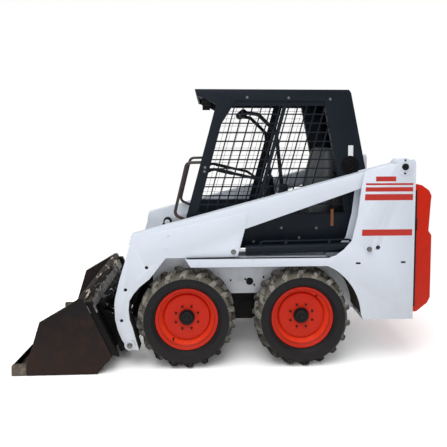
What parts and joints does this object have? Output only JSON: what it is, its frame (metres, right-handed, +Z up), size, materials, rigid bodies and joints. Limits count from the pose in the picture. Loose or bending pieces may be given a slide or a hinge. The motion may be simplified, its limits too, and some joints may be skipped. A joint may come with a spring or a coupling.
{
  "type": "compact skid steer loader",
  "caption": "Compact wheeled skid steer loader with a mesh-sided cab between lift arms that pivot at the rear, and a bucket on a quick hitch.",
  "frame": {"origin": "on the ground under the middle of the machine's overall box", "axes": "+X forward to the bucket, +Y to the operator's left, +Z up"},
  "size_m": [2.918, 1.12, 1.955],
  "materials": {
    "white_paint": "semi-gloss, dusty",
    "orange_paint": "gloss, dusty",
    "black_paint": "satin",
    "worn_steel": "worn, dirty",
    "chromed_rod": "polished",
    "cast_engine": "rough",
    "tyre_rubber": "matte, muddy",
    "seat_vinyl": "matte"
  },
  "bodies": {
    "chassis": {"main_frame": "white_paint", "chaincase_left": "black_paint", "chaincase_right": "black_paint", "upright_left": "white_paint", "upright_right": "white_paint", "inner_plate_left": "white_paint", "inner_plate_right": "white_paint", "fender_left": "white_paint", "fender_right": "white_paint", "pivot_pins": "worn_steel", "engine_block": "cast_engine", "rear_grille": "black_paint"},
    "tailgate": {"tailgate": "orange_paint"},
    "lift_arms": {"lift_arm_left": "white_paint", "lift_arm_right": "white_paint", "arm_crossmember": "white_paint", "hitch_pins": "worn_steel"},
    "bucket": {"hitch_frame": "black_paint", "hitch_levers": "worn_steel", "bucket_shell": "worn_steel", "cutting_edge": "worn_steel"},
    "cab": {"cab_wall_left": "black_paint", "cab_wall_right": "black_paint", "cab_roof": "black_paint", "cab_back": "black_paint", "side_screen_left": "black_paint", "side_screen_right": "black_paint", "seat_pan": "black_paint", "seat_cushion": "seat_vinyl", "seat_back": "seat_vinyl", "grab_rails": "black_paint", "work_lamps": "black_paint", "control_levers": "black_paint"},
    "seat_bar": {"seat_bar": "black_paint"},
    "lift_barrel_left": {"lift_barrel_left": "black_paint"},
    "lift_barrel_right": {"lift_barrel_right": "black_paint"},
    "lift_rod_left": {"lift_rod_left": "chromed_rod"},
    "lift_rod_right": {"lift_rod_right": "chromed_rod"},
    "tilt_barrel_left": {"tilt_barrel_left": "black_paint"},
    "tilt_barrel_right": {"tilt_barrel_right": "black_paint"},
    "tilt_rod_left": {"tilt_rod_left": "chromed_rod"},
    "tilt_rod_right": {"tilt_rod_right": "chromed_rod"},
    "wheel_front_left": {"tyre_front_left": "tyre_rubber", "wheel_front_left": "orange_paint"},
    "wheel_front_right": {"tyre_front_right": "tyre_rubber", "wheel_front_right": "orange_paint"},
    "wheel_rear_left": {"tyre_rear_left": "tyre_rubber", "wheel_rear_left": "orange_paint"},
    "wheel_rear_right": {"tyre_rear_right": "tyre_rubber", "wheel_rear_right": "orange_paint"}
  },
  "joints": [
    {"name": "front_left_wheel", "type": "hinge", "parent": "chassis", "child": "wheel_front_left", "pos_m": [0.279, 0.419, 0.343], "axis": [0, 1, 0], "continuous": true},
    {"name": "front_right_wheel", "type": "hinge", "parent": "chassis", "child": "wheel_front_right", "pos_m": [0.279, -0.419, 0.343], "axis": [0, 1, 0], "continuous": true},
    {"name": "rear_left_wheel", "type": "hinge", "parent": "chassis", "child": "wheel_rear_left", "pos_m": [-0.536, 0.419, 0.343], "axis": [0, 1, 0], "continuous": true},
    {"name": "rear_right_wheel", "type": "hinge", "parent": "chassis", "child": "wheel_rear_right", "pos_m": [-0.536, -0.419, 0.343], "axis": [0, 1, 0], "continuous": true},
    {"name": "lift", "type": "hinge", "parent": "chassis", "child": "lift_arms", "pos_m": [-1.236, 0, 1.41], "axis": [0, -1, 0], "range_deg": [0, 68]},
    {"name": "tilt", "type": "hinge", "parent": "lift_arms", "child": "bucket", "pos_m": [0.672, 0, 0.173], "axis": [0, 1, 0], "range_deg": [-25, 105]},
    {"name": "lift_barrel_swing_left", "type": "hinge", "parent": "chassis", "child": "lift_barrel_left", "pos_m": [-0.994, 0.45, 0.835], "axis": [0, -1, 0], "range_deg": [0, 64]},
    {"name": "lift_rod_slide_left", "type": "slide", "parent": "lift_barrel_left", "child": "lift_rod_left", "axis": [0.9999, 0, -0.0148], "range_m": [0, 0.7]},
    {"name": "tilt_barrel_swing_left", "type": "hinge", "parent": "lift_arms", "child": "tilt_barrel_left", "pos_m": [0.48565, 0.355, 0.86847], "axis": [0, 1, 0], "range_deg": [-1, 2]},
    {"name": "tilt_rod_slide_left", "type": "slide", "parent": "tilt_barrel_left", "child": "tilt_rod_left", "axis": [0.3836, 0, -0.9235], "range_m": [-0.06, 0.23]},
    {"name": "lift_barrel_swing_right", "type": "hinge", "parent": "chassis", "child": "lift_barrel_right", "pos_m": [-0.994, -0.45, 0.835], "axis": [0, -1, 0], "range_deg": [0, 64]},
    {"name": "lift_rod_slide_right", "type": "slide", "parent": "lift_barrel_right", "child": "lift_rod_right", "axis": [0.9999, 0, -0.0148], "range_m": [0, 0.7]},
    {"name": "tilt_barrel_swing_right", "type": "hinge", "parent": "lift_arms", "child": "tilt_barrel_right", "pos_m": [0.48565, -0.355, 0.86847], "axis": [0, 1, 0], "range_deg": [-1, 2]},
    {"name": "tilt_rod_slide_right", "type": "slide", "parent": "tilt_barrel_right", "child": "tilt_rod_right", "axis": [0.3836, 0, -0.9235], "range_m": [-0.06, 0.23]},
    {"name": "tailgate_swing", "type": "hinge", "parent": "chassis", "child": "tailgate", "pos_m": [-1.339, -0.496, 0.823], "axis": [0, 0, 1], "range_deg": [0, 100]},
    {"name": "cab_tilt", "type": "hinge", "parent": "chassis", "child": "cab", "pos_m": [-0.971, 0, 1.3], "axis": [0, -1, 0], "range_deg": [0, 40]},
    {"name": "seat_bar_swing", "type": "hinge", "parent": "cab", "child": "seat_bar", "pos_m": [-0.421, 0, 1.25], "axis": [0, -1, 0], "range_deg": [-75, 0]}
  ],
  "couplings": [
    {"joint": "lift_barrel_swing_left", "follows": "lift", "ratio": 0.9356},
    {"joint": "lift_rod_slide_left", "follows": "lift", "m_per_rad": 0.58238},
    {"joint": "tilt_barrel_swing_left", "follows": "tilt", "ratio": 0.01284},
    {"joint": "tilt_rod_slide_left", "follows": "tilt", "m_per_rad": 0.12087},
    {"joint": "lift_barrel_swing_right", "follows": "lift", "ratio": 0.9356},
    {"joint": "lift_rod_slide_right", "follows": "lift", "m_per_rad": 0.58238},
    {"joint": "tilt_barrel_swing_right", "follows": "tilt", "ratio": 0.01284},
    {"joint": "tilt_rod_slide_right", "follows": "tilt", "m_per_rad": 0.12087}
  ]
}
